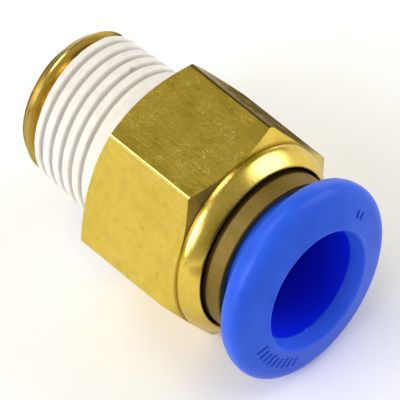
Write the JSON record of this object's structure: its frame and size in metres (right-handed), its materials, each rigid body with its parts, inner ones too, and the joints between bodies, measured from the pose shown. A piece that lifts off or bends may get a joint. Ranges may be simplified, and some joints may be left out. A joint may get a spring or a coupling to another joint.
{
  "type": "push to connect fitting",
  "caption": "Straight male push-in tube fitting: hexagon body, taper thread with sealant, sliding release ring that frees the gripped tube.",
  "frame": {"origin": "on the fitting's axis, at the hexagon's shoulder face on the thread side", "axes": "+X along the axis from the thread to the tube port, +Z square to a pair of hexagon flats, +Y completes a right-handed frame through a hexagon corner"},
  "size_m": [0.0317, 0.0196, 0.0178],
  "materials": {
    "body_brass": "turned brass, satin",
    "sealant": "white dry coat",
    "ring_brass": "turned brass, satin",
    "button_blue": "moulded acetal, semi-gloss",
    "chuck_plastic": "moulded acetal, natural",
    "claw_steel": "stainless steel, stamped",
    "backup_plastic": "moulded acetal, natural",
    "seal_rubber": "nitrile rubber"
  },
  "bodies": {
    "body": {"hex_body": "body_brass", "thread_sealant": "sealant", "guide_ring": "ring_brass", "backup_ring": "backup_plastic", "tube_seal": "seal_rubber"},
    "chuck": {"chuck": "chuck_plastic", "lock_claws": "claw_steel"},
    "release_button": {"release_button": "button_blue"}
  },
  "joints": [
    {"name": "release_push", "type": "slide", "parent": "body", "child": "chuck", "axis": [1, 0, 0], "range_m": [-0.0015, 0]},
    {"name": "button_spin", "type": "hinge", "parent": "chuck", "child": "release_button", "pos_m": [0.0185, 0, 0], "axis": [1, 0, 0], "continuous": true}
  ]
}
